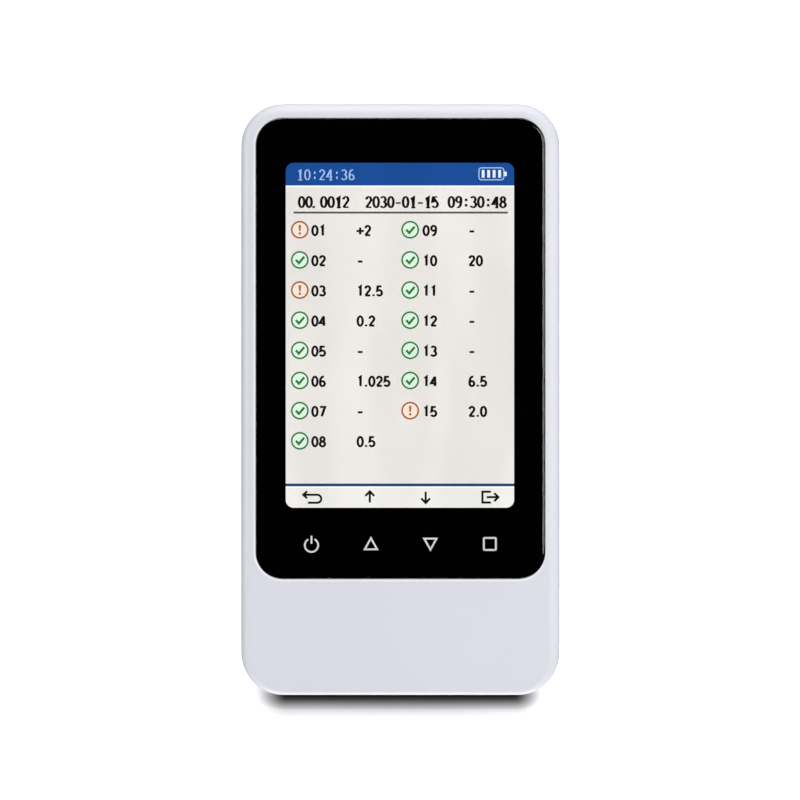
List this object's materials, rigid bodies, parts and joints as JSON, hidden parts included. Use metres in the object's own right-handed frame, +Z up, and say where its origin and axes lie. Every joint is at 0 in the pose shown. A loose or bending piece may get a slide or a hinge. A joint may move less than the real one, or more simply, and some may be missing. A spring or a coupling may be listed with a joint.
{
  "type": "handheld urine strip analyzer",
  "caption": "Pocket analyzer with a flush black glass front, colour display, touch keys and a motor-driven tray that carries a test strip under a light reader.",
  "frame": {"origin": "on the resting plane, under the middle of the case, which lies on its back", "axes": "+Z up, out of the display; +Y towards the upper end of the display; +X to the display's right; the tray leaves towards -Y"},
  "size_m": [0.068, 0.126, 0.026],
  "materials": {
    "white_shell": "fine satin ABS",
    "clear_glass": "polished",
    "clear_film": "clear film",
    "black_tape": "matte foam tape",
    "display_cell": "lit display",
    "steel_sheet": "pressed sheet",
    "zinc_screw": "zinc plated",
    "foot_rubber": "moulded",
    "flex_film": "polyimide film",
    "circuit_board": "solder mask",
    "chip_epoxy": "moulded epoxy",
    "connector_nylon": "moulded nylon",
    "cell_pouch": "laminated foil",
    "lead_insulation": "extruded PVC",
    "black_chassis": "fine grain ABS",
    "tray_plastic": "fine grain ABS",
    "holder_plastic": "moulded ABS",
    "gear_acetal": "moulded acetal",
    "pinion_brass": "cut brass",
    "coil_copper": "enamelled copper wire",
    "magnet_ferrite": "sintered",
    "lens_clear": "moulded clear"
  },
  "bodies": {
    "case": {"front_shell": "white_shell", "rear_shell": "white_shell", "case_screws": "zinc_screw", "rubber_feet": "foot_rubber", "cover_glass": "clear_glass", "touch_sensor": "clear_film", "bond_frame": "black_tape", "lcd_panel": "display_cell", "lcd_backlight": "steel_sheet", "lcd_ribbon": "flex_film", "main_board": "circuit_board", "charging_socket": "steel_sheet", "board_chips": "chip_epoxy", "radio_module": "steel_sheet", "buzzer": "chip_epoxy", "battery_socket": "connector_nylon", "battery_cell": "cell_pouch", "battery_leads": "lead_insulation", "board_screws": "zinc_screw", "battery_cradle": "black_chassis", "cradle_screws": "zinc_screw", "tray_guide": "black_chassis", "guide_screws": "zinc_screw", "home_sensor": "chip_epoxy", "gear_axle": "steel_sheet", "motor_plate": "steel_sheet", "plate_screws": "zinc_screw", "motor_can": "steel_sheet", "motor_coils": "coil_copper", "reader_housing": "black_chassis", "reader_lens": "lens_clear", "reader_board": "circuit_board", "reader_lamps": "lens_clear", "photo_sensor": "chip_epoxy", "reader_ribbon": "flex_film"},
    "tray": {"tray_carriage": "tray_plastic", "strip_holder": "holder_plastic", "calibration_tile": "holder_plastic", "tray_front": "white_shell"},
    "drive_gear": {"tray_gear": "gear_acetal"},
    "rotor": {"motor_magnet": "magnet_ferrite", "motor_shaft": "steel_sheet", "motor_pinion": "pinion_brass"}
  },
  "joints": [
    {"name": "tray_slide", "type": "slide", "parent": "case", "child": "tray", "axis": [0, -1, 0], "range_m": [0, 0.08]},
    {"name": "gear_spin", "type": "hinge", "parent": "case", "child": "drive_gear", "pos_m": [0.01112, -0.052, 0.0066], "axis": [0, 0, 1], "range_deg": [0, 1312]},
    {"name": "rotor_spin", "type": "hinge", "parent": "case", "child": "rotor", "pos_m": [0.01795, -0.04387, 0.0151], "axis": [0, 0, 1], "range_deg": [-3277, 0]}
  ],
  "couplings": [
    {"joint": "gear_spin", "follows": "tray_slide", "rad_per_m": 285.71},
    {"joint": "rotor_spin", "follows": "tray_slide", "rad_per_m": -714.29}
  ]
}
